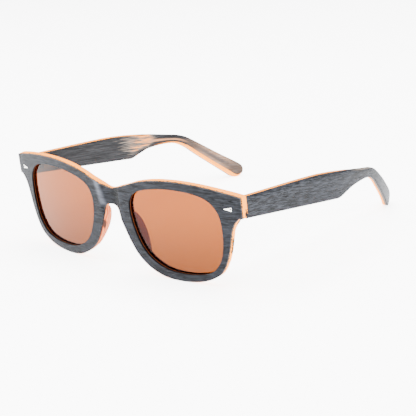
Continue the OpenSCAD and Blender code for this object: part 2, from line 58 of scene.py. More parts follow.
MM = 0.001
LENS_W, LENS_H, BRIDGE_GAP = 50.0, 40.8, 24.0
BRIDGE_TOP, BRIDGE_H, RIM_W = 15.7, 7.9, 3.7
END_REACH, END_H, END_LOW, END_RISE = 6.8, 10.0, 9.8, 1.05
END_FLAT, END_CURVE = 1.7, Vector((4.3, 2.9))
BROW_RISE, ARCH_DROP = 1.8, (0.6, 2.5)
FRONT_R, LEAN = 286.0, math.radians(5)
FACE_T, CORE_T, BACK_T, GLUE = 0.5, 3.4, 0.5, 0.02
SCOOP_R, SCOOP_DEPTH = 13.0, 1.5
LENS_T, LENS_SET, GROOVE, LENS_CLEAR = 1.8, 1.4, 0.8, 0.04
PAD_L, PAD_DEPTH, PAD_W, PAD_DROP, PAD_INSET, PAD_KEEP = 23.0, 5.6, 4.4, 6.2, 0.3, 1.2
TEMPLE_L, BEND_AT, STEP_AT = 143.4, 105.0, 70.0
TEMPLE_OVER, TEMPLE_UNDER, TEMPLE_CROWN = 4.6, 5.2, 8.0
WAIST_H, WAIST_LOW, WAIST_L, TURN_L = 5.2, 0.8, 9.0, 7.0
BEND_DROP, HEEL = (0.6, 1.0, 3.7), Vector((108.2, -1.8))
TIP_DROP, TIP_R, TIP_SLOPE = 16.7, 4.1, math.radians(33)
BOW_AT, BOW_R, BUTT_GAP, BUTT_REACH = 60.0, 190.0, 0.25, 1.5
OUTER_T, MIDDLE_T, DARK_T, PALE_T, INNER_T = 0.6, 2.1, 0.6, 0.8, 0.5
HINGE_IN, HINGE_BACK, HINGE_UP = 1.9, 3.0, 3.8
RIVET_L, RIVET_H, RIVET_POINT, RIVET_OUT = 4.6, 2.1, 0.3, 0.3
RIVET_PROUD, RIVET_SUNK, RIVET_RISE, SHANK_R = 0.25, 0.3, 0.6, 0.45

LENS_X = (BRIDGE_GAP + LENS_W) / 2
HALF_W = LENS_X + LENS_W / 2 + RIM_W + END_REACH
END_TOP = END_LOW + END_H
BRIDGE_LOW = BRIDGE_TOP - BRIDGE_H
PAD_SEAT = FACE_T + CORE_T
FRONT_T = PAD_SEAT + BACK_T
TEMPLE_T = OUTER_T + MIDDLE_T + DARK_T + PALE_T + INNER_T
DARK_FROM = OUTER_T + MIDDLE_T
PALE_FROM = DARK_FROM + DARK_T
INNER_FROM = PALE_FROM + PALE_T

# Steps of the meshes: along curves, round the core's back edge, out over a lens, along a temple's straight
# part, bend and tip, and across the edge and face of a temple's layer

SPAN_STEPS, ARC_STEPS, LENS_RINGS = 8, 6, 14
ROOT_STATIONS, BEND_STATIONS, TIP_STATIONS = 66, 40, 19
LAYER_EDGE_STEPS, LAYER_FACE_STEPS = 5, 7

# Sizes of the scene alone, in millimetres; a pair is where something begins and where it is complete

NEAR, SLICE, FACE_INSET = 0.001, 2.5, 0.3
NOSE_EDGE = (-20.0, -16.5), (5.0, 8.0)
LEFT_SCRAPS = (-9.5, -7.5), (-0.5, 1.5)
RIGHT_SCRAPS = (-18.0, -15.0), (-11.0, -8.0)
END_SCRAPS_STOP, BRIDGE_SIDE = (12.0, 18.5), (7.0, 12.0)
# The third value, a pair, is how deep the painted shade by the nose reaches down the core's wall
DARK_LINE_T, MARK_EASE, NOSE_SHADE_T, CHIP_GAP, CHIP_H = 0.35, 0.05, (0.45, 0.7), 0.15, (1.2, 1.5)
LINE_OVER_LENS, STRIPE_OVER_LENS, STRIPE_EASE = 0.34, 0.2, 0.02
OPENING_BACK_ROUND = (0.0, 0.3), (0.1, 0.09), (0.32, 0.0)
LENS_EDGE, PAD_LEAST, PLATE_ROUND, PIN_R, PIN_RISE = 0.3, 0.12, 0.13, 0.4, 0.1
ROOT_AT, BEND_LEAD = 1.0, 4.0
ROUND_TURN = 92.0, 120.0

# Marks on the walls of the core: chance of scraps of dark veneer, and how dark the painted shade is on the
# walls of the lens openings

LINE_SCRAP, PATCH_SCRAP = 0.9, 1.15
LINE_SHADE, STRIPE_SHADE, MAROON_SHADE, HIDDEN_SHADE, BACK_SHADE = 0.95, 0.44, 0.6, 0.36, 0.3

# Angles between two faces that count as flat, as a sharp edge and as a corner

FLAT, SHARP, CORNER = math.radians(0.5), math.radians(40), math.radians(60)

# Places along a temple where its finish changes, in millimetres behind the hinge

SANDED_PATCH, BARE_FROM = ((44, 77), (82, 92)), (64, 74)
PALE_WAIST, LOW_EDGE_FROM = ((80, 88), (100, 112)), (84, 104)
TIP_PALE_FROM, TIP_PALE_STOP = (104, 124), (129, 139)
UPPER_ROLL_FROM, LOWER_ROLL_FROM, WORN_ROLL_FROM = (66, 82), (98, 106), (78, 92)
UPPER_ROLL_DEPTH, LOWER_ROLL_DEPTH = (1.7, 2.0), (1.5, 1.9)


def linear(code):
    """Linear colour of a hexadecimal sRGB code."""
    parts = [int(code[i : i + 2], 16) / 255 for i in (0, 2, 4)]
    return tuple(p / 12.92 if p < 0.04045 else ((p + 0.055) / 1.055) ** 2.4 for p in parts)


def toned(colour, *shares):
    """Colour with its parts scaled by one share or by three."""
    return [min(1.0, part * share) for part, share in zip(colour, shares * (3 // len(shares)))]


def ramp(v, a, b):
    """Share, 0 to 1, of the way that v has gone from a to b."""
    return max(0.0, min(1.0, (v - a) / (b - a)))


def stretch(v, rise, fall):
    """1 between a rise and a fall, 0 outside them."""
    return ramp(v, *rise) * (1 - ramp(v, *fall))


def mix(a, b, share):
    return a + (b - a) * share


# Bent surfaces of the front

def under_y(x, t):
    """Depth of the bent surface that lies t under the face."""
    return FRONT_R - math.sqrt((FRONT_R - t) ** 2 - x * x)


def scooped_y(x, t):
    """The same with the upright scoop in the bridge."""
    y = under_y(x, t)
    reach = SCOOP_R + t
    if abs(x) < reach:
        y = max(y, SCOOP_DEPTH - SCOOP_R + math.sqrt(reach * reach - x * x))
    return y


def scooped_core_y(x, t):
    """The core follows the scoop at its face and the plain bend at its back."""
    share = ramp(t, FACE_T + GLUE, PAD_SEAT)
    return mix(scooped_y(x, t), under_y(x, t), share)


# Frames: the standing front and the left temple

HINGE = Vector(JOINTS["temple_fold_left"]["pos_m"]) / MM
BACKWARD = Vector(JOINTS["spring_pull_left"]["axis"]).normalized()
PITCH = math.atan2(-BACKWARD.z, BACKWARD.y)
HINGE_ON_FRONT = Vector((HINGE.x, under_y(HINGE.x, FRONT_T) + HINGE_BACK, END_LOW + HINGE_UP))
LEANING = Matrix.Rotation(LEAN, 4, "X")
STANDING = Matrix.Translation(HINGE - LEANING @ HINGE_ON_FRONT) @ LEANING
AT_TEMPLE = Matrix.Translation(HINGE) @ Matrix.Rotation(-PITCH, 4, "X")
MIRROR = Matrix.Scale(-1, 4, (1, 0, 0))
SIDES = (("left", Matrix.Identity(4)), ("right", MIRROR))


# Smooth curves through chosen points

def between(a, b, c, d, t):
    """Point on a smooth curve between b and c, with neighbours a and d."""
    return (
        b + (c - a) * t / 2 + (2 * a - 5 * b + 4 * c - d) * t * t / 2
        + (3 * b - a - 3 * c + d) * t ** 3 / 2
    )


def ring(points):
    """Smooth closed curve."""
    n = len(points)
    return [
        between(points[i - 1], points[i], points[(i + 1) % n], points[(i + 2) % n], k / SPAN_STEPS)
        for i in range(n)
        for k in range(SPAN_STEPS)
    ]


def path(before, points, after):
    """Smooth open curve, with the points before and after its ends."""
    q = [before, *points, after]
    made = [
        between(q[i - 1], q[i], q[i + 1], q[i + 2], k / SPAN_STEPS)
        for i in range(1, len(points))
        for k in range(SPAN_STEPS)
    ]
    return made + [points[-1]]


def outward(points):
    """Outward normals of a closed clockwise loop."""
    n = len(points)
    runs = [points[(i + 1) % n] - points[i - 1] for i in range(n)]
    return [Vector((-v.y, v.x)).normalized() for v in runs]


def grown(points, d):
    """Closed clockwise loop moved outward by d."""
    return [p + n * d for p, n in zip(points, outward(points))]


def mirrored(points):
    """Clockwise mirror image of a clockwise loop."""
    return [Vector((-p.x, p.y)) for p in reversed(points)]


# Outlines of the front, seen from the front

def on_lens(u, v):
    return Vector((LENS_X + u * LENS_W / 2, v * LENS_H / 2))


def on_rim(u, v):
    return Vector((LENS_X + u * (LENS_W / 2 + RIM_W), v * (LENS_H / 2 + RIM_W)))


OPENING = ring([on_lens(*p) for p in (
    (0, 1), (0.44, 0.965), (0.76, 0.84), (0.945, 0.575), (1, 0.22), (0.985, -0.22), (0.9, -0.59),
    (0.7, -0.865), (0.4, -0.975), (0.05, -1), (-0.28, -0.95), (-0.57, -0.785), (-0.78, -0.53),
    (-0.91, -0.2), (-0.985, 0.14), (-0.995, 0.48), (-0.895, 0.735), (-0.67, 0.88), (-0.34, 0.965),
)])


def corner(before, at, after, size):
    """Points round a corner."""
    a = at + (before - at).normalized() * size
    b = at + (after - at).normalized() * size
    return [a * (1 - t) ** 2 + at * 2 * t * (1 - t) + b * t * t for t in (0, 0.25, 0.5, 0.75, 1)]


def front_outline(corner_round):
    """Closed clockwise outline of the front with rounded end corners."""
    brow = Vector((BRIDGE_GAP / 4, BRIDGE_TOP + BROW_RISE))
    end_corner, end_foot = Vector((HALF_W, END_TOP)), Vector((HALF_W, END_LOW))
    rise = Vector((HALF_W - END_CURVE.x, END_TOP + END_RISE))
    top = path(Vector((-brow.x, brow.y)), [
        Vector((0, BRIDGE_TOP)), brow, on_rim(-0.87, 0.813), on_rim(-0.66, 0.9), on_rim(-0.35, 0.975),
        on_rim(0, 1.005), on_rim(0.35, 0.995), on_rim(0.73, 0.945), rise, end_corner,
    ], end_corner)
    arch = Vector((BRIDGE_GAP * 0.13, BRIDGE_LOW - ARCH_DROP[0]))
    low = path(end_foot, [
        end_foot, end_foot - Vector((END_FLAT, 0)), end_foot - END_CURVE,
        *[on_rim(*p) for p in (
            (1.035, 0.13), (1, -0.06), (0.955, -0.295), (0.885, -0.53), (0.755, -0.765), (0.5, -0.925),
            (0.2, -0.992), (-0.1, -0.998), (-0.36, -0.945), (-0.6, -0.81), (-0.79, -0.61),
            (-0.92, -0.37), (-1, -0.165), (-1.08, 0.06),
        )],
        Vector((BRIDGE_GAP / 5, BRIDGE_LOW - ARCH_DROP[1])), arch, Vector((0, BRIDGE_LOW)),
    ], Vector((-arch.x, arch.y)))
    clear = HALF_W - corner_round * 1.05
    top_part = [p for p in top if p.x < clear]
    low_part = [p for p in low if p.x < clear]
    half = [
        *top_part, *corner(top_part[-1], end_corner, end_foot, corner_round),
        *corner(end_corner, end_foot, low_part[0], corner_round), *low_part,
    ]
    return half + mirrored(half[1:-1])


def end_share(q):
    """1 on the end pieces, 0 on the rims."""
    across = ramp(abs(q.x), HALF_W - 2 * END_REACH, HALF_W - END_REACH)
    return across * ramp(q.y, END_LOW - 2 * END_CURVE.y, END_LOW - END_CURVE.y)


def nose_share(q):
    """1 on the edge that a nose pad stands on."""
    if abs(q.x) > LENS_X - LENS_W / 4:
        return 0.0
    return stretch(q.y, *NOSE_EDGE)


def scrap_share(q):
    """1 where scraps of dark veneer are left on the rounded back edge."""
    side = ramp(abs(q.x), LENS_X + LENS_W * 0.44, LENS_X + LENS_W * 0.5)
    return side * stretch(q.y, *(LEFT_SCRAPS if q.x > 0 else RIGHT_SCRAPS))


# Mesh tools

def grid(bm, columns, rows, place, marks=()):
    """Grid of columns by rows faces; place(i, j) gives corner (i, j) and then its mark values."""
    made = bmesh.ops.create_grid(bm, x_segments=columns, y_segments=rows, size=1)["verts"]
    if len(made) != (columns + 1) * (rows + 1):
        raise RuntimeError("the grid has another size than asked")
    for v in made:
        v.co, *values = place(round((v.co.x + 1) / 2 * columns), round((v.co.y + 1) / 2 * rows))
        for mark, value in zip(marks, values):
            v[mark] = value


def band(bm, points, profile, marks):
    """Wall along a closed loop; profile(p, n) lists outward offsets, depths and mark values at a point."""
    normals = outward(points)
    count = len(points)
    columns = [profile(p, n) for p, n in zip(points, normals)]

    def place(i, j):
        k = i % count
        offset, depth, *values = columns[k][j]
        at = points[k] + normals[k] * offset
        return Vector((at.x, depth, at.y)), *values

    grid(bm, count, len(columns[0]) - 1, place, marks)


def new_marks(bm, *names):
    """Values that the vertices carry for the finishes."""
    return [bm.verts.layers.float.new(name) for name in names]


def loop_edges(bm, points, depth):
    """Closed loop of edges through points of the front, at a depth under the face."""
    verts = [bm.verts.new((p.x, depth, p.y)) for p in points]
    return [bm.edges.new((verts[i - 1], v)) for i, v in enumerate(verts)]


def pulled(bm, offset):
    """Pulls a copy of the faces along an offset, walls with it, and returns its vertices."""
    made = bmesh.ops.extrude_face_region(bm, geom=bm.faces[:], use_keep_orig=True)["geom"]
    moved = [g for g in made if isinstance(g, bmesh.types.BMVert)]
    bmesh.ops.translate(bm, vec=offset, verts=moved)
    return moved


def rounded(bm, edges, size, segments):
    """Rounds edges, and returns the vertices of the rounding."""
    return bmesh.ops.bevel(
        bm, geom=edges, offset=size, segments=segments, profile=0.5, affect="EDGES", material=-1,
        clamp_overlap=True,
    )["verts"]


def weld(bm, distance=2 * NEAR):
    bmesh.ops.remove_doubles(bm, verts=bm.verts[:], dist=distance)


def close_ends(bm):
    """Welds the seam of a loft and closes its open ends."""
    weld(bm)
    bmesh.ops.holes_fill(bm, edges=[e for e in bm.edges if e.is_boundary], sides=0)


def slice_upright(bm):
    """Upright cuts through a flat sheet, so that it can be bent; some stand at the sides of the scoop."""
    count = int(HALF_W / SLICE)
    scoop_side = math.sqrt(SCOOP_R ** 2 - (SCOOP_R - SCOOP_DEPTH) ** 2)
    places = [SLICE * k for k in range(-count, count + 1)]
    for x in sorted(places + [scoop_side * share for share in (-1, -0.82, 0.82, 1)]):
        bmesh.ops.bisect_plane(
            bm, geom=bm.verts[:] + bm.edges[:] + bm.faces[:], dist=NEAR,
            plane_co=(x, 0, 0), plane_no=(1, 0, 0),
        )


def bend(bm, surface):
    """Depths under the flat face become depths under the bent face."""
    for v in bm.verts:
        v.co.y = surface(v.co.x, v.co.y)


def face_outward(bm):
    """Turns the faces of each closed shell outward."""
    bmesh.ops.recalc_face_normals(bm, faces=bm.faces[:])
    left = set(bm.faces)
    while left:
        shell, edge = set(), [left.pop()]
        while edge:
            face = edge.pop()
            shell.add(face)
            near = {other for e in face.edges for other in e.link_faces} & left
            left -= near
            edge.extend(near)
        volume = sum(f.calc_center_median().dot(f.normal) * f.calc_area() for f in shell)
        if volume < 0:
            bmesh.ops.reverse_faces(bm, faces=list(shell))


def finish_piece(bm, name, body, node, finishes, frame_matrix, smooth=40):
    """Welds and stands a mesh, and makes it the piece that stands for its node; smooth is in degrees."""
    weld(bm)
    bmesh.ops.dissolve_degenerate(bm, dist=NEAR / 2, edges=bm.edges[:])
    bm.transform(frame_matrix)
    face_outward(bm)
    bm.transform(Matrix.Scale(MM, 4))
    mesh = bpy.data.meshes.new(name)
    bm.to_mesh(mesh)
    bm.free()
    mesh.shade_smooth()
    mesh.set_sharp_from_angle(angle=math.radians(smooth))
    for finish in finishes:
        mesh.materials.append(finish)
    made = bpy.data.objects.new(name, mesh)
    bpy.context.scene.collection.objects.link(made)
    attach(made, body)
    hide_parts(node)


def softened(node, body, finish, size, end_round=0.0, shortest=0.0):
    """Copy of a metal solid, its edges broken by size and the corners of its back end rounded."""
    bm = bmesh.new()
    bm.from_mesh(frame["nodes"][node].data)
    bm.transform(Matrix.Scale(1 / MM, 4))
    weld(bm, NEAR)
    bmesh.ops.dissolve_limit(bm, angle_limit=FLAT, verts=bm.verts[:], edges=bm.edges[:])
    if end_round:
        end = max(v.co.y for v in bm.verts)
        corners = [
            e for e in bm.edges
            if all(v.co.y > end - end_round for v in e.verts)
            and abs((e.verts[0].co - e.verts[1].co).normalized().x) > 0.9
            and e.calc_face_angle(0) > CORNER
        ]
        rounded(bm, corners, end_round, 5)
    sharp = [
        e for e in bm.edges
        if e.is_manifold and e.calc_face_angle(0) > SHARP and e.calc_length() > shortest
    ]
    rounded(bm, sharp, size, 2)
    finish_piece(bm, f"{node}_metal", body, node, [finish], Matrix.Identity(4), smooth=14)


def dress(node, finish):
    """Gives a CAD node its finish."""
    materials = frame["nodes"][node].data.materials
    materials.clear()
    materials.append(finish)


# Shaders

class Shade:
    """A shader socket that takes part in Python sums."""

    def __init__(self, finish, socket):
        self.finish = finish
        self.socket = socket

    def _math(self, operation, *values):
        return self.finish.node("ShaderNodeMath", {"operation": operation}, dict(enumerate(values)))

    def __add__(self, other):
        return self._math("ADD", self, other)

    def __sub__(self, other):
        return self._math("SUBTRACT", self, other)

    def __rsub__(self, other):
        return self._math("SUBTRACT", other, self)

    def __mul__(self, other):
        return self._math("MULTIPLY", self, other)

    def __abs__(self):
        return self._math("ABSOLUTE", self)

    __radd__ = __add__
    __rmul__ = __mul__

    def at_most(self, other):
        return self._math("MINIMUM", self, other)

    def at_least(self, other):
        return self._math("MAXIMUM", self, other)

    def step(self, low, high):
        """0 under low, 1 over high, smooth between."""
        return self.finish.node(
            "ShaderNodeMapRange", {"interpolation_type": "SMOOTHSTEP"},
            {"Value": self, "From Min": low, "From Max": high},
        )

    def stretch(self, rise, fall):
        """1 between a rise and a fall, smooth at both."""
        return self.step(*rise) * (1 - self.step(*fall))


class Finish:
    """A material under construction."""

    def __init__(self, name):
        self.material = bpy.data.materials.new(name)
        self.material.use_nodes = True
        self.tree = self.material.node_tree
        self.shader = next(n for n in self.tree.nodes if n.type == "BSDF_PRINCIPLED")

    def fill(self, socket, value):
        if isinstance(value, Shade):
            self.tree.links.new(value.socket, socket)
        elif socket.type == "RGBA":
            socket.default_value = (*value, 1.0)
        else:
            socket.default_value = value

    def node(self, kind, settings=None, inputs=None, output=0):
        """Adds a node of a type with its settings and the values or links of its sockets."""
        made = self.tree.nodes.new(kind)
        for name, value in (settings or {}).items():
            setattr(made, name, value)
        for name, value in (inputs or {}).items():
            self.fill(made.inputs[name], value)
        return Shade(self, made.outputs[output])

    def set(self, **values):
        for name, value in values.items():
            self.fill(self.shader.inputs[name.replace("_", " ")], value)

    def places(self, scale, turn=(0, 0, 0), shift=(0, 0, 0)):
        """Object coordinates, turned and then stretched, in units of scale per metre."""
        at = self.node("ShaderNodeTexCoord", output="Object")
        turned = self.node("ShaderNodeMapping", None, {"Vector": at, "Rotation": turn})
        return self.node("ShaderNodeMapping", None, {"Vector": turned, "Scale": scale, "Location": shift})

    def reach(self, axis):
        """Millimetres along one axis of the object."""
        at = self.places((1 / MM, 1 / MM, 1 / MM))
        return self.node("ShaderNodeSeparateXYZ", None, {0: at}, axis)

    def noise(self, at, detail=2.0, roughness=0.5, distortion=0.0):
        values = {"Vector": at, "Scale": 1.0, "Detail": detail, "Roughness": roughness}
        return self.node("ShaderNodeTexNoise", None, {**values, "Distortion": distortion})

    def blend(self, share, a, b):
        """Mix of two colours."""
        settings = {"data_type": "RGBA", "clamp_factor": True}
        return self.node("ShaderNodeMix", settings, {0: share, 6: a, 7: b}, 2)

    def mark(self, name):
        """A value that the piece's own mesh carries."""
        return self.node("ShaderNodeAttribute", {"attribute_name": name}, None, 2)

    def bump(self, height, distance):
        """Relief of a height pattern, distance in metres."""
        values = {"Height": height, "Distance": distance, "Strength": 1.0}
        self.set(Normal=self.node("ShaderNodeBump", None, values))


def grain_turn(along):
    """Turn that lays the x axis of a pattern along the grain."""
    return (PITCH, 0, -math.pi / 2) if along == "temple" else (0, 0, 0)


def veneer_finish(name, looks, along, tone=1.0, face=False):
    """Open-grain charcoal veneer brushed along the grain; the face is worn at its edges, has painted shade
    on its walls and scoop and a painted highlight on the scoop.
    """
    f = Finish(name)
    turn = grain_turn(along)
    broad = f.noise(f.places((40, 130, 260), turn), 3, 0.55)
    fibre = f.noise(f.places((150, 240, 1900), turn, (3, 1, 7)), 4, 0.6, 0.2)
    fine = f.noise(f.places((300, 420, 3600), turn, (9, 4, 2)), 3, 0.65)
    pore = f.noise(f.places((260, 500, 3000), turn, (1, 8, 5)), 1, 0.5).step(0.58, 0.7)
    # A gain over 1 lightens the whole veneer as painted light
    dark, light = toned(looks.veneer_dark, tone), toned(looks.veneer_light, tone)
    low, high = (0.3, 0.78) if face else (0.38, 0.68)
    streaks = (fibre + fine * 0.6 + broad * 0.15 - 0.375).step(low, high)
    colour = f.blend(streaks, dark, light)
    colour = f.blend(pore * 0.75, colour, toned(dark, 0.35))
    rough = 0.42 + fibre * 0.2 + pore * 0.15
    if face:
        worn = f.mark("wear") * (fine * 0.9 + broad * 0.8 - 0.3).step(0.3, 0.75)
        colour = f.blend(worn, colour, looks.worn)
        # Painted shade: the veneer darkens on its walls, toward its back and into the lens openings
        colour = f.blend(f.mark("wall_shade"), colour, toned(dark, 0.3))
        # Painted highlight: one side of the scoop is made pale along a leaning band; painted shade: the
        # recess beside it is darkened and made rougher
        x, z = f.reach("X"), f.reach("Z")
        band_x, band_z, band_lean = -6.5, 36, 0.24
        bridge = z.step(30, 32)
        off_band = abs(x - band_x + (z - band_z) * band_lean)
        pale = bridge * (1 - off_band.step(0.1, 2.7)) * (0.1 + fibre * 0.9)
        recess_shade = bridge * x.stretch((-4, 6), (5.8, 6.1))
        colour = f.blend(pale, colour, toned(light, 4.4))
        colour = f.blend(recess_shade * 0.85, colour, toned(dark, 0.3))
        rough = rough + recess_shade * 0.35
    f.set(Base_Color=colour, Roughness=rough)
    f.set(Specular_IOR_Level=looks.wood_shine, Sheen_Weight=looks.veneer_sheen, Sheen_Roughness=0.3)
    f.bump(fibre * 0.55 + fine * 0.35 - pore * 0.6, 0.00011)
    return f.material


def pad_colour(f, looks):
    """Rosy and tan layers sanded through at a slant, with one dark knot; then their fibres and layers."""
    wave = f.noise(f.places((70, 180, 120), (0, 0, 0), (4, 1, 2)), 2, 0.5)
    layers = f.node("ShaderNodeMath", {"operation": "SINE"}, {0: f.reach("Y") * 3.78 + wave * 14})
    fibre = f.noise(f.places((900, 2600, 200)), 3, 0.6)
    colour = f.blend(layers.step(-0.5, 0.7), looks.pad_rose, looks.pad_tan)
    colour = f.blend(fibre.step(0.48, 0.75) * 0.6, colour, toned(looks.pad_rose, 0.42))
    knot_at, knot_scale = Vector((-0.0084, -0.0734, 0.0199)), (800, 700, 270)
    tilt, lean = math.radians(-28), math.radians(-22)
    middle = Matrix.Rotation(lean, 3, "Y") @ Matrix.Rotation(tilt, 3, "X") @ knot_at
    knot = f.places(knot_scale, (tilt, lean, 0), [-k * c for k, c in zip(knot_scale, middle)])
    away = f.node("ShaderNodeVectorMath", {"operation": "LENGTH"}, {0: knot}, "Value")
    colour = f.blend((1 - (away + fibre * 0.6).step(0.9, 1.4)) * 0.9, colour, looks.veneer_dark)
    return colour, fibre, layers


def tan_fibres(f, looks, fibre):
    """Tan wood, darker in its fibres."""
    return f.blend(fibre.step(0.3, 0.75), looks.wood_tan, toned(looks.wood_tan, 0.9, 0.8, 0.7))


def core_finish(name, looks, grain):
    """Sanded tan wood with fine fibres, dark where scraps of veneer are left and where painted shade lies
    on the front's walls.
    """
    f = Finish(name)
    turn = grain_turn(grain)
    broad = f.noise(f.places((60, 260, 260), turn), 2, 0.5)
    fibre = f.noise(f.places((140, 2600, 2600), turn, (2, 5, 1)), 4, 0.6, 0.2)
    fleck = f.noise(f.places((420, 3800, 3800), turn, (7, 3, 4)), 1, 0.5).step(0.66, 0.78)
    colour = tan_fibres(f, looks, fibre)
    colour = f.blend(broad.step(0.35, 0.8) * 0.45, colour, toned(looks.wood_tan, 1.06, 1.12, 1.2))
    colour = f.blend(fleck * 0.35, colour, toned(looks.wood_tan, 0.45))
    if grain == "front":
        chips = f.noise(f.places((900, 900, 1100), turn, (3, 8, 6)), 2, 0.6) + f.mark("scrap") * 0.5
        # Painted shade: the shade mark darkens the opening walls to maroon and then near black, and the
        # core's wall by the nose
        shade = f.mark("shade") * 2
        colour = f.blend(f.mark("rosy"), colour, pad_colour(f, looks)[0])
        colour = f.blend(chips.step(0.96, 1.0), colour, looks.veneer_dark)
        colour = f.blend(shade.at_most(1), colour, looks.opening_shade_colour)
        colour = f.blend((shade - 1).at_least(0), colour, toned(looks.veneer_dark, 0.5))
    elif grain == "temple":
        along, deep = f.mark("along"), f.mark("deep")
        upper = f.mark("across").step(0.4, 0.6)
        upper_roll = upper * (1 - deep.step(*UPPER_ROLL_DEPTH)).at_least(along.step(*UPPER_ROLL_FROM))
        lower_roll = (1 - upper) * along.step(*LOWER_ROLL_FROM) * (1 - deep.step(*LOWER_ROLL_DEPTH))
        edge = f.blend(fibre.step(0.35, 0.65), looks.veneer_dark, looks.veneer_light)
        edge = f.blend(along.step(*WORN_ROLL_FROM) * fibre * 0.5, edge, looks.worn)
        colour = f.blend(upper_roll.at_least(lower_roll), colour, edge)
    f.set(Base_Color=colour, Roughness=0.55 + fibre * 0.2)
    f.set(Specular_IOR_Level=looks.wood_shine)
    f.bump(fibre - fleck * 0.5, 0.00004)
    return f.material


def pad_finish(name, looks):
    """Layered wood of the nose pads."""
    f = Finish(name)
    colour, fibre, layers = pad_colour(f, looks)
    f.set(Base_Color=colour, Roughness=0.45 + fibre * 0.2)
    f.set(Specular_IOR_Level=looks.wood_shine)
    f.bump(fibre + layers * 0.15, 0.00004)
    return f.material


def sanded_finish(name, looks):
    """Inner face of the temples: dark veneer, sanded through to pale wood in flames and along the edges."""
    f = Finish(name)
    along, across = f.mark("along"), f.mark("across")
    turn = grain_turn("temple")
    fibre = f.noise(f.places((60, 240, 2400), turn, (3, 1, 7)), 4, 0.62, 0.2)
    fine = f.noise(f.places((150, 420, 5000), turn, (9, 4, 2)), 3, 0.6)
    flame = f.noise(f.places((60, 120, 1500), turn, (6, 2, 9)), 4, 0.65, 0.3)
    line = f.noise(f.places((25, 160, 900), turn, (5, 2, 3)), 3, 0.6).step(0.55, 0.68)
    tan = tan_fibres(f, looks, fibre)
    warm = (1.4, 1.3, 1.15)
    streaks = (fibre + fine * 0.5 - 0.25).step(0.3, 0.75)
    dark = f.blend(streaks, toned(looks.veneer_dark, *warm), toned(looks.veneer_light, *warm))
    dark = f.blend(line * 0.5, dark, looks.veneer_dark)
    tip = along.step(*TIP_PALE_FROM) * (1 - along.step(*TIP_PALE_STOP) * 0.7)
    dark = f.blend(tip * (fibre * 0.9 - 0.15), dark, looks.worn)
    off_middle = abs(across + fibre * 0.2 - 0.65)
    waist = along.stretch(*PALE_WAIST) * (1 - off_middle.step(0.04, 0.2))
    dark = f.blend(waist * 0.55, dark, f.blend(0.5, tan, looks.worn))
    dark = f.blend(tip * flame * 0.15, dark, tan)
    dark = f.blend(tip * (1 - off_middle.step(0.06, 0.3)) * 0.75, dark, looks.veneer_light)
    patch = along.stretch(*SANDED_PATCH) * (0.6 + across.step(0.12, 0.4) * 0.4)
    rubbed = patch * 1.1 + flame * 2.6
    bare = rubbed.step(2.25, 2.6) * along.step(*BARE_FROM)
    low_edge = along.step(*LOW_EDGE_FROM) * (1 - across.step(0.1, 0.16)) * flame.step(0.2, 0.4)
    colour = f.blend(rubbed.step(1.9, 2.4) * 0.35, dark, looks.worn)
    colour = f.blend((bare * 0.75).at_least(low_edge), colour, tan)
    f.set(Base_Color=colour, Roughness=0.55 + fibre * 0.2)
    f.set(Specular_IOR_Level=looks.wood_shine)
    f.bump(fibre * 0.5 + fine * 0.35, 0.00008)
    return f.material


def lens_finish(name, looks):
    """Brown tinted lens, polished, a little darker toward its lower edge."""
    f = Finish(name)
    smear = f.noise(f.places((60, 60, 60)), 3, 0.6)
    tint = f.blend(f.reach("Z").step(0, 42), toned(looks.lens_tint, 0.5), looks.lens_tint)
    f.set(Base_Color=tint, Roughness=0.01 + smear * 0.02)
    f.set(Transmission_Weight=1.0, IOR=1.16)
    return f.material


def metal_finish(name, colour, rough, brushed):
    """Metal with fine brush lines and small dents."""
    f = Finish(name)
    lines = f.noise(f.places((1500, 1500, 9000)), 2, 0.5)
    cloud = f.noise(f.places((500, 500, 500)), 3, 0.6)
    f.set(Base_Color=f.blend(cloud.step(0.3, 0.8), colour, toned(colour, 0.72)))
    f.set(Roughness=rough + lines * brushed + cloud * 0.1, Metallic=1.0)
    f.bump(lines * brushed + cloud * 0.2, 0.00002)
    return f.material


def kept(name, make, *arguments, **settings):
    """The finish of that name, made at its first use."""
    return bpy.data.materials.get(name) or make(name, *arguments, **settings)


def hinge_finish(looks):
    return kept("brushed_hinge_metal", metal_finish, looks.hinge_metal, 0.24, 0.2)


# Properties

def colour_property(name, description, code):
    return bpy.props.FloatVectorProperty(
        name=name, description=description, subtype="COLOR", size=3, min=0, max=1, default=linear(code)
    )


def length_property(name, description, millimetres):
    return bpy.props.FloatProperty(
        name=name, description=description, unit="LENGTH", precision=5, min=0, default=millimetres * MM
    )


def share_property(name, description, share):
    return bpy.props.FloatProperty(
        name=name, description=description, subtype="FACTOR", min=0, max=1, default=share
    )


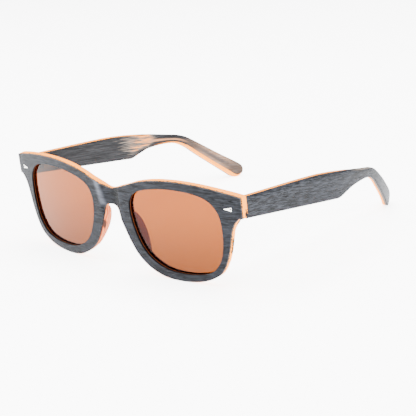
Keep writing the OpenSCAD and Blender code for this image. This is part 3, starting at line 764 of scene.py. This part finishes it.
class SUNGLASSES_PG_looks(bpy.types.PropertyGroup):
    """Colours and edge sizes of the sunglasses."""

    veneer_dark: colour_property("Veneer dark", "Dark grain of the charcoal veneer", "0b0c0e")
    veneer_light: colour_property("Veneer light", "Light grain of the charcoal veneer", "282a2f")
    worn: colour_property("Worn edge", "Veneer edge where it is worn", "9c8d7f")
    # Painted shade: this maroon stands in for the shade on the walls of the lens openings
    opening_shade_colour: colour_property("Opening maroon", "Stained wall of the lens openings", "3f1810")
    wood_tan: colour_property("Tan wood", "Core wood of the front and temples", "ee8b18")
    pad_rose: colour_property("Pad rose", "Rosy layers of the nose pads", "9a421f")
    pad_tan: colour_property("Pad tan", "Tan layers of the nose pads", "b8693a")
    lens_tint: colour_property("Lens tint", "Colour of light through a lens", "6c3612")
    plate_metal: colour_property("Plate metal", "Rivet plates", "e8e6e1")
    hinge_metal: colour_property("Hinge metal", "Hinges and screws", "4a4843")
    wood_shine: share_property("Wood shine", "Strength of the wood's reflections", 0.04)
    veneer_sheen: share_property("Veneer sheen", "Sheen of the brushed veneer seen at a slant", 0.15)
    face_round: length_property("Face round", "Rounding of the face veneer's edge", 0.2)
    rim_round: length_property("Rim round", "Rounding of the rims' back edge", 1.9)
    top_round: length_property("Top round", "Rounding of the rims' back edge along the top", 0.8)
    end_round: length_property("End round", "Rounding of the end pieces' back edge", 0.35)
    corner_round: length_property("Corner round", "Rounding of the end pieces' corners", 0.4)
    temple_round: length_property("Temple round", "Rounding of the temples' outer edge", 0.45)
    crown_round: length_property("Crown round", "Rounding of the temples' outer upper edge", 2.2)
    upper_round: length_property("Upper round", "Rounding of the temples' inner upper edge", 1.1)
    tip_round: length_property("Tip round", "Rounding of the tips' inner lower edge", 0.8)


class SunglassesOperator:
    """What all the operators share."""

    bl_options = {"REGISTER", "UNDO"}

    def looks(self, context):
        return context.scene.sunglasses_looks


class SUNGLASSES_OT_front_face(SunglassesOperator, bpy.types.Operator):
    """Bent charcoal veneer on the face, with the scoop in the bridge"""

    bl_idname = "sunglasses.front_face"
    bl_label = "Front face"

    def execute(self, context):
        looks = self.looks(context)
        bm = bmesh.new()
        wear, wall_shade = new_marks(bm, "wear", "wall_shade")
        edges = loop_edges(bm, front_outline(looks.corner_round / MM), 0)
        edges += loop_edges(bm, OPENING, 0) + loop_edges(bm, mirrored(OPENING), 0)
        bmesh.ops.triangle_fill(bm, edges=edges, use_beauty=True, normal=(0, -1, 0))
        bmesh.ops.inset_region(
            bm, faces=bm.faces[:], thickness=FACE_INSET, use_boundary=True, use_even_offset=True
        )
        slice_upright(bm)
        behind = pulled(bm, (0, FACE_T, 0))
        rim = [
            e for e in bm.edges
            if all(v.co.y < NEAR for v in e.verts)
            and any(v.co.y > NEAR for face in e.link_faces for v in face.verts)
        ]
        for v in rounded(bm, rim, looks.face_round / MM, 3):
            to_opening = min((Vector((abs(v.co.x), v.co.z)) - q).length for q in OPENING)
            # Painted shade on the rounded edge of each lens opening, darker toward the wall
            if to_opening < RIM_W / 3:
                v[wall_shade] = ramp(v.co.y, 0.0, 0.1)
            else:
                worn = 1.0 if v.co.y > 0.01 else 0.3
                v[wear] = worn * (1 - nose_share(Vector((v.co.x, v.co.z))))
        # Painted shade: the veneer's back, and its walls toward it, are darkened
        for v in behind:
            if v.is_valid:
                v[wall_shade] = 1.0
        bend(bm, scooped_y)
        finish = kept("charcoal_veneer_front", veneer_finish, looks, "front", face=True)
        finish_piece(
            bm, "front_face_veneer", "front", "front_face", [finish], STANDING
        )
        return {"FINISHED"}


class SUNGLASSES_OT_front_core(SunglassesOperator, bpy.types.Operator):
    """Tan core of the front, rounded at its back, with the lens grooves"""

    bl_idname = "sunglasses.front_core"
    bl_label = "Front core"

    def execute(self, context):
        looks = self.looks(context)
        top, bottom = FACE_T + GLUE, PAD_SEAT

        def outer(p, n):
            """Rows of the outer wall: offset, depth, and the marks scrap, shade and rosy."""
            at_nose, at_end = nose_share(p), end_share(p)
            along_top = mix(looks.end_round, looks.top_round, ramp(abs(p.x), *BRIDGE_SIDE))
            at_rim = mix(looks.rim_round, along_top, ramp(n.y, 0.2, 0.7))
            size = mix(at_rim, looks.end_round, max(at_end, at_nose)) / MM
            at_end *= ramp(n.x * p.x, 0.0, 30.0)
            # Painted shade by the nose reaches down to here; the pads' rosy colour begins under it
            shade_end = top + mix(*NOSE_SHADE_T, at_nose)
            chipped = max(shade_end + CHIP_GAP, bottom - size - mix(*CHIP_H, at_end))
            scraps = max(at_end * (1 - ramp(p.y, *END_SCRAPS_STOP)), scrap_share(p)) * PATCH_SCRAP
            line = top + DARK_LINE_T
            arc = [
                (size * (math.cos(a) - 1), bottom - size * (1 - math.sin(a)), scraps, 0, at_nose)
                for a in (math.pi / 2 * k / ARC_STEPS for k in range(ARC_STEPS + 1))
            ]
            return [
                (0, top, LINE_SCRAP, at_nose, 0), (0, line, LINE_SCRAP, at_nose, 0),
                (0, line + MARK_EASE, 0, at_nose, 0), (0, shade_end, 0, at_nose * 0.9, 0),
                (0, shade_end + MARK_EASE, 0, 0, at_nose), (0, chipped - MARK_EASE, 0, 0, at_nose),
                (0, chipped, scraps, 0, at_nose), *arc,
            ]

        def inner(p, n):
            """Rows of an opening's wall, with how dark its painted shade is: dark line, brown stripe,
            maroon band, groove and back.
            """
            line, stripe = LENS_SET - LINE_OVER_LENS, LENS_SET - STRIPE_OVER_LENS
            lens_back = LENS_SET + LENS_T
            (wall, low), (turn, mid), (back, high) = OPENING_BACK_ROUND
            rows = (
                (0, top, 1.0), (0, line, LINE_SHADE),
                (0, line + STRIPE_EASE, STRIPE_SHADE), (0, stripe, STRIPE_SHADE),
                (0, stripe + STRIPE_EASE, MAROON_SHADE), (0, LENS_SET, MAROON_SHADE),
                (GROOVE, LENS_SET, HIDDEN_SHADE), (GROOVE, lens_back, HIDDEN_SHADE),
                (0, lens_back, HIDDEN_SHADE), (wall, bottom - low, HIDDEN_SHADE),
                (turn, bottom - mid, HIDDEN_SHADE), (back, bottom - high, BACK_SHADE),
            )
            return [(offset, depth, 0, shade, 0) for offset, depth, shade in rows]

        bm = bmesh.new()
        marks = new_marks(bm, "scrap", "shade", "rosy")
        band(bm, front_outline(looks.corner_round / MM), outer, marks)
        band(bm, OPENING, inner, marks)
        band(bm, mirrored(OPENING), inner, marks)
        weld(bm)
        for depth, side in ((top, -1), (bottom, 1)):
            edges = [
                e for e in bm.edges if e.is_boundary and all(abs(v.co.y - depth) < NEAR for v in e.verts)
            ]
            bmesh.ops.triangle_fill(bm, edges=edges, use_beauty=True, normal=(0, side, 0))
        slice_upright(bm)
        bend(bm, scooped_core_y)
        finish = kept("tan_wood_front", core_finish, looks, "front")
        finish_piece(
            bm, "front_core_wood", "front", "front_core", [finish], STANDING, smooth=50
        )
        return {"FINISHED"}


class SUNGLASSES_OT_front_back(SunglassesOperator, bpy.types.Operator):
    """Charcoal veneer on the back of the front"""

    bl_idname = "sunglasses.front_back"
    bl_label = "Front back"

    def execute(self, context):
        finish = kept("charcoal_veneer_back", veneer_finish, self.looks(context), "front")
        dress("front_back", finish)
        return {"FINISHED"}


class SUNGLASSES_OT_lenses(SunglassesOperator, bpy.types.Operator):
    """Brown lenses seated in the grooves of the core"""

    bl_idname = "sunglasses.lenses"
    bl_label = "Lenses"

    def execute(self, context):
        finish = kept("brown_lens", lens_finish, self.looks(context))
        edge = grown(OPENING, GROOVE - LENS_CLEAR)
        n = len(edge)
        middle = Vector((LENS_X, 0))
        front, back = LENS_SET + LENS_CLEAR, LENS_SET + LENS_T - LENS_CLEAR
        out = [k / LENS_RINGS for k in range(LENS_RINGS)] + [0.985]
        rows = [(share, front) for share in out] + [(1, front + LENS_EDGE), (1, back - LENS_EDGE)]
        rows += [(share, back) for share in reversed(out)]

        def place(i, j):
            share, depth = rows[j]
            at = middle + (edge[i % n] - middle) * share
            return (Vector((at.x, under_y(at.x, depth), at.y)),)

        for side, matrix in SIDES:
            bm = bmesh.new()
            grid(bm, n, len(rows) - 1, place)
            name, node = f"lens_{side}_tinted", f"lens_{side}"
            finish_piece(bm, name, "front", node, [finish], matrix @ STANDING)
        return {"FINISHED"}


class SUNGLASSES_OT_nose_pads(SunglassesOperator, bpy.types.Operator):
    """Rounded nose pads of layered wood behind the rims"""

    bl_idname = "sunglasses.nose_pads"
    bl_label = "Nose pads"

    def execute(self, context):
        finish = kept("layered_pad_wood", pad_finish, self.looks(context))
        line = path(on_rim(-1.18, 0.3), [on_rim(*p) for p in (
            (-1.14, 0.24), (-1.08, 0.06), (-1, -0.165), (-0.92, -0.37), (-0.79, -0.61),
            (-0.67, -0.76), (-0.5, -0.88),
        )], on_rim(-0.36, -0.945))
        radius = (PAD_L ** 2 / 4 + PAD_DEPTH ** 2) / (2 * PAD_DEPTH)
        inside = radius - PAD_DEPTH

        def height(z):
            return math.sqrt(max(0, radius ** 2 - (z + PAD_DROP) ** 2)) - inside

        def section(width, high):
            lean = 0.3 * high
            return path(Vector((PAD_INSET, -0.6)), [
                Vector((PAD_INSET, 0)), Vector((PAD_INSET + lean * 0.3, high * 0.45)),
                Vector((PAD_INSET + lean * 0.85, high * 0.86)), Vector((PAD_INSET + width * 0.66, high)),
                Vector((PAD_INSET + width * 0.97, high * 0.88)), Vector((PAD_INSET + width, high * 0.45)),
                Vector((PAD_INSET + width, 0)),
            ], Vector((PAD_INSET + width, -0.6)))

        stations = []
        for i in range(1, len(line) - 1):
            p, run = line[i], line[i + 1] - line[i - 1]
            high = height(p.y) - under_y(p.x, 0)
            if high > PAD_LEAST:
                toward = Vector((-run.y, run.x)).normalized()
                room = min((q - p).length for q in OPENING) - PAD_KEEP - PAD_INSET
                stations.append((p, toward, section(min(PAD_W, room), high)))
        n = len(stations[0][2])

        def place(i, j):
            p, toward, points = stations[j]
            d = points[i % n]
            at = p + toward * d.x
            return (Vector((at.x, under_y(at.x, PAD_SEAT) + GLUE + d.y, at.y)),)

        for side, matrix in SIDES:
            bm = bmesh.new()
            grid(bm, n, len(stations) - 1, place)
            close_ends(bm)
            name, node = f"nose_pad_{side}_wood", f"nose_pad_{side}"
            finish_piece(bm, name, "front", node, [finish], matrix @ STANDING, smooth=70)
        return {"FINISHED"}


class SUNGLASSES_OT_rivets(SunglassesOperator, bpy.types.Operator):
    """Tapered rivet plates on the end pieces"""

    bl_idname = "sunglasses.rivets"
    bl_label = "Rivets"

    def execute(self, context):
        looks = self.looks(context)
        finish = kept("bright_plate", metal_finish, looks.plate_metal, 0.12, 0.12)
        pin = kept("dark_pin", metal_finish, toned(looks.hinge_metal, 0.15), 0.4, 0.1)
        x = HALF_W - END_REACH + RIVET_OUT
        z = END_LOW + HINGE_UP + RIVET_RISE
        turned = Matrix.Rotation(math.asin(x / FRONT_R), 4, "Z")
        on_face = Matrix.Translation((x, under_y(x, 0), z)) @ turned
        long, high, point = RIVET_L * 0.43, RIVET_H * 0.47, RIVET_POINT / 2
        plan = [Vector(p) for p in ((-long, point), (long, high), (long, -high), (-long, -point))]
        flat = Matrix.Scale(0.5, 4, (0, 1, 0))
        pin_at = Matrix.Translation((RIVET_L * 0.3, -RIVET_PROUD, PIN_RISE)) @ flat
        for side, matrix in SIDES:
            bm = bmesh.new()
            bmesh.ops.contextual_create(bm, geom=loop_edges(bm, plan, RIVET_SUNK))
            pulled(bm, (0, -RIVET_SUNK - RIVET_PROUD, 0))
            rounded(bm, [e for e in bm.edges if all(v.co.y < 0 for v in e.verts)], PLATE_ROUND, 2)
            for at in (-RIVET_L / 8, RIVET_L * 3 / 8):
                lay = Matrix.Translation((at, FRONT_T / 2, 0)) @ Matrix.Rotation(math.pi / 2, 4, "X")
                bmesh.ops.create_cone(
                    bm, cap_ends=True, segments=16, radius1=SHANK_R, radius2=SHANK_R,
                    depth=FRONT_T - 2 * RIVET_SUNK, matrix=lay,
                )
            head = bmesh.ops.create_uvsphere(bm, u_segments=16, v_segments=8, radius=PIN_R, matrix=pin_at)
            for face in {face for v in head["verts"] for face in v.link_faces}:
                face.material_index = 1
            finish_piece(
                bm, f"rivet_{side}_plate", "front", f"rivet_{side}", [finish, pin],
                matrix @ STANDING @ on_face, smooth=25,
            )
        return {"FINISHED"}


class SUNGLASSES_OT_hinges(SunglassesOperator, bpy.types.Operator):
    """Hinge leaves, screws and eyes"""

    bl_idname = "sunglasses.hinges"
    bl_label = "Hinges"

    def execute(self, context):
        finish = hinge_finish(self.looks(context))
        for side, _ in SIDES:
            softened(f"front_leaf_{side}", "front", finish, size=0.12)
            softened(f"hinge_screw_{side}", "front", finish, size=0.08)
            softened(f"hinge_eye_{side}", f"eye_{side}", finish, size=0.12)
            dress(f"rod_nut_{side}", finish)
        return {"FINISHED"}


class SUNGLASSES_OT_housings(SunglassesOperator, bpy.types.Operator):
    """Spring housings with their caps, springs and screws"""

    bl_idname = "sunglasses.housings"
    bl_label = "Spring housings"

    def execute(self, context):
        looks = self.looks(context)
        finish = hinge_finish(looks)
        steel = kept("drawn_spring_steel", metal_finish, toned(looks.hinge_metal, 0.6), 0.3, 0.1)
        for side, _ in SIDES:
            body = f"temple_{side}"
            softened(f"housing_{side}", body, finish, size=0.25, end_round=1.0, shortest=1.0)
            softened(f"housing_screw_{side}", body, finish, size=0.12)
            dress(f"housing_cap_{side}", finish)
            dress(f"spring_{side}", steel)
        return {"FINISHED"}


# Temples, in the frame of the left temple

def at_y(curve, y, side):
    """Point of an edge curve at distance y, with its normal, up for side 1 and down for -1."""
    for a, b in zip(curve, curve[1:]):
        if a.x <= y <= b.x and b.x > a.x:
            run = (b - a).normalized()
            return a.lerp(b, (y - a.x) / (b.x - a.x)), Vector((-run.y, run.x)) * side
    raise RuntimeError("the temple's edge doesn't reach there")


def temple_edges():
    """Upper and lower edge points of the temple with their outward normals, from the front to the tip."""
    tip = Vector((TEMPLE_L - TIP_R, -TIP_DROP))
    over = Vector((math.sin(TIP_SLOPE), math.cos(TIP_SLOPE))) * TIP_R
    front = -3 * HINGE_BACK
    waist_top = WAIST_LOW + WAIST_H
    turn = Vector((BEND_AT + TURN_L, waist_top - BEND_DROP[2]))
    upper = path(Vector((front - 1, TEMPLE_OVER)), [
        Vector((front, TEMPLE_OVER)), Vector((0, TEMPLE_OVER)),
        Vector((STEP_AT * 0.55, mix(TEMPLE_OVER, TEMPLE_CROWN, 0.76))),
        Vector((STEP_AT * 0.83, TEMPLE_CROWN)),
        Vector((mix(STEP_AT, BEND_AT, 0.23), TEMPLE_CROWN - BEND_DROP[0])),
        Vector((BEND_AT - WAIST_L, waist_top)), Vector((BEND_AT, waist_top - BEND_DROP[1])),
        turn, turn.lerp(tip + over, 0.56), tip + over,
    ], tip + Vector((TIP_R, 0)))
    lower = path(Vector((front - 1, -TEMPLE_UNDER)), [
        Vector((front, -TEMPLE_UNDER)), Vector((STEP_AT * 0.5, -TEMPLE_UNDER)),
        Vector((STEP_AT - 5, -TEMPLE_UNDER)), Vector((STEP_AT, 0.1 - TEMPLE_UNDER)),
        Vector((mix(STEP_AT, BEND_AT, 0.18), mix(-TEMPLE_UNDER, WAIST_LOW, 0.4))),
        Vector((mix(STEP_AT, BEND_AT, 0.36), mix(-TEMPLE_UNDER, WAIST_LOW, 0.75))),
        Vector((mix(STEP_AT, BEND_AT, 0.63), WAIST_LOW)), Vector((BEND_AT - WAIST_L / 2, WAIST_LOW)),
        HEEL, HEEL.lerp(tip - over, 0.28), tip - over,
    ], tip - Vector((TIP_R, TIP_R)))
    split = BEND_AT - WAIST_L - BEND_LEAD
    runs = [(mix(ROOT_AT, split, k / ROOT_STATIONS),) * 2 for k in range(ROOT_STATIONS)]
    for k in range(BEND_STATIONS):
        share = k / BEND_STATIONS
        runs.append((mix(split, (tip + over).x, share), mix(split, (tip - over).x, share)))
    stations = [(at_y(upper, high, 1), at_y(lower, low, -1)) for high, low in runs]
    quarter = TIP_STATIONS - 1
    for k in range(TIP_STATIONS):
        turned = math.radians(90 - 90 / quarter * k)
        normals = [Vector((math.cos(a), math.sin(a))) for a in (turned - TIP_SLOPE, -turned - TIP_SLOPE)]
        stations.append(tuple((tip + normal * TIP_R, normal) for normal in normals))
    return stations


def bowed_x(y, t):
    """Distance from the hinge axis of the surface t under the outer face."""
    outer = HINGE_IN + TEMPLE_T
    if y <= BOW_AT:
        return outer - t
    return outer - BOW_R + math.sqrt((BOW_R - t) ** 2 - (y - BOW_AT) ** 2)


def sanded_depth(y):
    """Depth of the inner surface under the outer face, after the inner face was sanded flat."""
    if y <= BOW_AT:
        return TEMPLE_T
    outer = HINGE_IN + TEMPLE_T
    flat = BOW_R - math.hypot(y - BOW_AT, HINGE_IN - (outer - BOW_R))
    return max(PALE_FROM, min(TEMPLE_T, flat))


def butt_y(x, z):
    """Place of the temple's end at the back of the front."""
    tilt = PITCH + LEAN
    wall = under_y(HINGE.x + x, FRONT_T + BUTT_GAP)
    return (wall - HINGE_ON_FRONT.y - z * math.sin(tilt)) / math.cos(tilt)


def round_inset(size, depth):
    """Inset, at a depth under a face, of an edge rounded by size."""
    if depth >= size:
        return 0.0
    return size - math.sqrt(max(0, size ** 2 - (size - max(0, depth)) ** 2))


def temple_layer(looks, stations, start, stop):
    """One bowed layer of the left temple between two depths, with the temple's rounded edges."""
    crown_round, outer_round = looks.crown_round / MM, looks.temple_round / MM
    upper_round, tip_round = looks.upper_round / MM, looks.tip_round / MM
    section = (
        [(k / LAYER_EDGE_STEPS, 1.0) for k in range(LAYER_EDGE_STEPS)]
        + [(1.0, 1 - k / LAYER_FACE_STEPS) for k in range(LAYER_FACE_STEPS)]
        + [(1 - k / LAYER_EDGE_STEPS, 0.0) for k in range(LAYER_EDGE_STEPS)]
        + [(0.0, k / LAYER_FACE_STEPS) for k in range(LAYER_FACE_STEPS)]
    )
    n = len(section)

    def edge_inset(t, y, low):
        back = ramp(y, *ROUND_TURN)
        out = outer_round if low else mix(crown_round, outer_round, back)
        into = mix(outer_round, tip_round, back) if low else mix(upper_round, outer_round, back)
        return max(round_inset(out, t), round_inset(into, sanded_depth(y) - t))

    def place(i, j):
        (upper, up), (lower, down) = stations[j]
        share, across = section[i % n]
        y = ((upper + lower) / 2).x
        deep = sanded_depth(y)
        t = mix(min(start, deep), min(stop, deep), share)
        at_tip = j >= len(stations) - TIP_STATIONS
        most = TIP_R * 0.96 if at_tip else (upper - lower).length * 0.49
        high = upper - up * min(most, edge_inset(t, y, False))
        low = lower - down * min(most, edge_inset(t, y, True))
        at = low.lerp(high, across)
        x = bowed_x(at.x, t)
        return Vector((x, butt_y(x, at.y) if j == 0 else at.x, at.y)), y, across, t

    bm = bmesh.new()
    grid(bm, n, len(stations) - 1, place, new_marks(bm, "along", "across", "deep"))
    close_ends(bm)
    return bm


class SUNGLASSES_OT_temples(SunglassesOperator, bpy.types.Operator):
    """Bowed temples of five layers, sanded round at the tips"""

    bl_idname = "sunglasses.temples"
    bl_label = "Temples"

    def execute(self, context):
        looks = self.looks(context)
        stations = temple_edges()
        # Painted light: the temples' veneer is the front's veneer made a quarter lighter, for the sheen its
        # sides catch
        veneer = kept("charcoal_veneer_temple", veneer_finish, looks, "temple", tone=1.25)
        tan = kept("tan_wood_temple", core_finish, looks, "temple")
        butt = kept("tan_wood_butt", core_finish, looks, "butt")
        sanded = kept("sanded_inner_face", sanded_finish, looks)
        for layer, start, stop, slot, finishes in (
            ("temple_outer", 0.0, OUTER_T, "charcoal_veneer", [veneer]),
            ("temple_middle", OUTER_T + GLUE, DARK_FROM, "pale_wood", [tan, butt]),
            ("temple_dark", DARK_FROM + GLUE, PALE_FROM, "charcoal_veneer", [sanded]),
            ("temple_pale", PALE_FROM + GLUE, INNER_FROM, "pale_wood", [tan, butt, sanded]),
            ("temple_inner", INNER_FROM + GLUE, TEMPLE_T, "charcoal_veneer", [sanded]),
        ):
            reached = [
                k for k, ((upper, _), (lower, _)) in enumerate(stations)
                if sanded_depth(((upper + lower) / 2).x) > start
            ]
            used = stations[: reached[-1] + 2]
            for side, matrix in SIDES:
                bm = temple_layer(looks, used, start, stop)
                bm.normal_update()
                for face in bm.faces:
                    if butt in finishes and all(v.co.y < BUTT_REACH for v in face.verts):
                        face.material_index = finishes.index(butt)
                    elif sanded in finishes and abs(face.normal.x) > 0.9:
                        face.material_index = finishes.index(sanded)
                finish_piece(
                    bm, f"{layer}_{side}_layer", f"temple_{side}", f"{layer}_{side}", finishes,
                    matrix @ AT_TEMPLE, smooth=50,
                )
        return {"FINISHED"}


# Stage: each lamp's place and size in metres and its power in watts, and the camera's axes and place

FLOOR_HALF, FLOOR_GLOW, SKY_GLOW = 6, 4.5, 1.6
LAMPS = (
    ("top", (0.0, 0.0, 1.0), 1.2, 55.0),
    ("right", (0.95, 0.35, 0.4), 0.7, 7.0),
    ("front_right", (0.75, -0.75, 0.35), 0.5, 4.0),
    ("left", (-0.9, -0.45, 0.15), 0.7, 28.0),
    ("back_right", (0.8, 0.9, 0.25), 0.7, 14.0),
)
LAMPS_FACE = Vector((0, 0, 0.02))
CAMERA_RIGHT = (0.754029, 0.654886, -0.050648)
CAMERA_UP = (-0.160314, 0.258263, 0.952680)
CAMERA_BACK = (0.636977, -0.710229, 0.299725)
CAMERA_AT = (0.4196996, -0.4769195, 0.2092183)


class SUNGLASSES_OT_stage(SunglassesOperator, bpy.types.Operator):
    """Pale floor, soft lights and the camera"""

    bl_idname = "sunglasses.stage"
    bl_label = "Stage"

    def execute(self, context):
        scene = context.scene
        bm = bmesh.new()
        bmesh.ops.create_grid(bm, x_segments=8, y_segments=8, size=FLOOR_HALF)
        mesh = bpy.data.meshes.new("floor")
        bm.to_mesh(mesh)
        bm.free()
        floor = bpy.data.objects.new("floor", mesh)
        scene.collection.objects.link(floor)
        paper = Finish("white_paper")
        cloud = paper.noise(paper.places((3, 3, 3)), 2)
        paper.set(Base_Color=paper.blend(cloud, linear("f8f8f8"), linear("fbfbfb")), Roughness=0.9)
        paper.set(Emission_Color=(1, 1, 1), Emission_Strength=FLOOR_GLOW)
        mesh.materials.append(paper.material)

        world = bpy.data.worlds.new("studio")
        world.use_nodes = True
        background = next(n for n in world.node_tree.nodes if n.type == "BACKGROUND")
        background.inputs["Color"].default_value = (1, 1, 1, 1)
        background.inputs["Strength"].default_value = SKY_GLOW
        scene.world = world

        for name, place, size, power in LAMPS:
            lamp = bpy.data.lights.new(name, "AREA")
            lamp.size, lamp.energy = size, power
            holder = bpy.data.objects.new(name, lamp)
            holder.location = place
            toward = LAMPS_FACE - holder.location
            holder.rotation_euler = toward.to_track_quat("-Z", "Y").to_euler()
            scene.collection.objects.link(holder)

        lens = bpy.data.cameras.new("camera")
        lens.sensor_width, lens.lens = 36.0, 112.5
        lens.clip_start, lens.clip_end = 0.01, 50
        camera = bpy.data.objects.new("camera", lens)
        axes = Matrix((CAMERA_RIGHT, CAMERA_UP, CAMERA_BACK)).transposed().to_4x4()
        camera.matrix_world = Matrix.Translation(CAMERA_AT) @ axes
        scene.collection.objects.link(camera)
        scene.camera = camera
        return {"FINISHED"}


OPERATORS = (
    SUNGLASSES_OT_front_face, SUNGLASSES_OT_front_core, SUNGLASSES_OT_front_back, SUNGLASSES_OT_lenses,
    SUNGLASSES_OT_nose_pads, SUNGLASSES_OT_rivets, SUNGLASSES_OT_hinges, SUNGLASSES_OT_housings,
    SUNGLASSES_OT_temples, SUNGLASSES_OT_stage,
)


class SUNGLASSES_PT_panel(bpy.types.Panel):
    """Lists the pieces of the sunglasses and their looks"""

    bl_idname = "SUNGLASSES_PT_panel"
    bl_label = "Wooden sunglasses"
    bl_space_type = "VIEW_3D"
    bl_region_type = "UI"
    bl_category = "Sunglasses"

    def draw(self, context):
        looks = context.scene.sunglasses_looks
        for name in looks.__annotations__:
            self.layout.prop(looks, name)
        for operator in OPERATORS:
            self.layout.operator(operator.bl_idname)


CLASSES = (SUNGLASSES_PG_looks, *OPERATORS, SUNGLASSES_PT_panel)


def register():
    for cls in CLASSES:
        bpy.utils.register_class(cls)
    bpy.types.Scene.sunglasses_looks = bpy.props.PointerProperty(type=SUNGLASSES_PG_looks)


def unregister():
    del bpy.types.Scene.sunglasses_looks
    for cls in reversed(CLASSES):
        bpy.utils.unregister_class(cls)


def main():
    register()
    for operator in OPERATORS:
        name = operator.bl_idname.split(".")[1]
        getattr(bpy.ops.sunglasses, name)()
    bpy.context.view_layer.update()


if __name__ == "__main__":
    main()
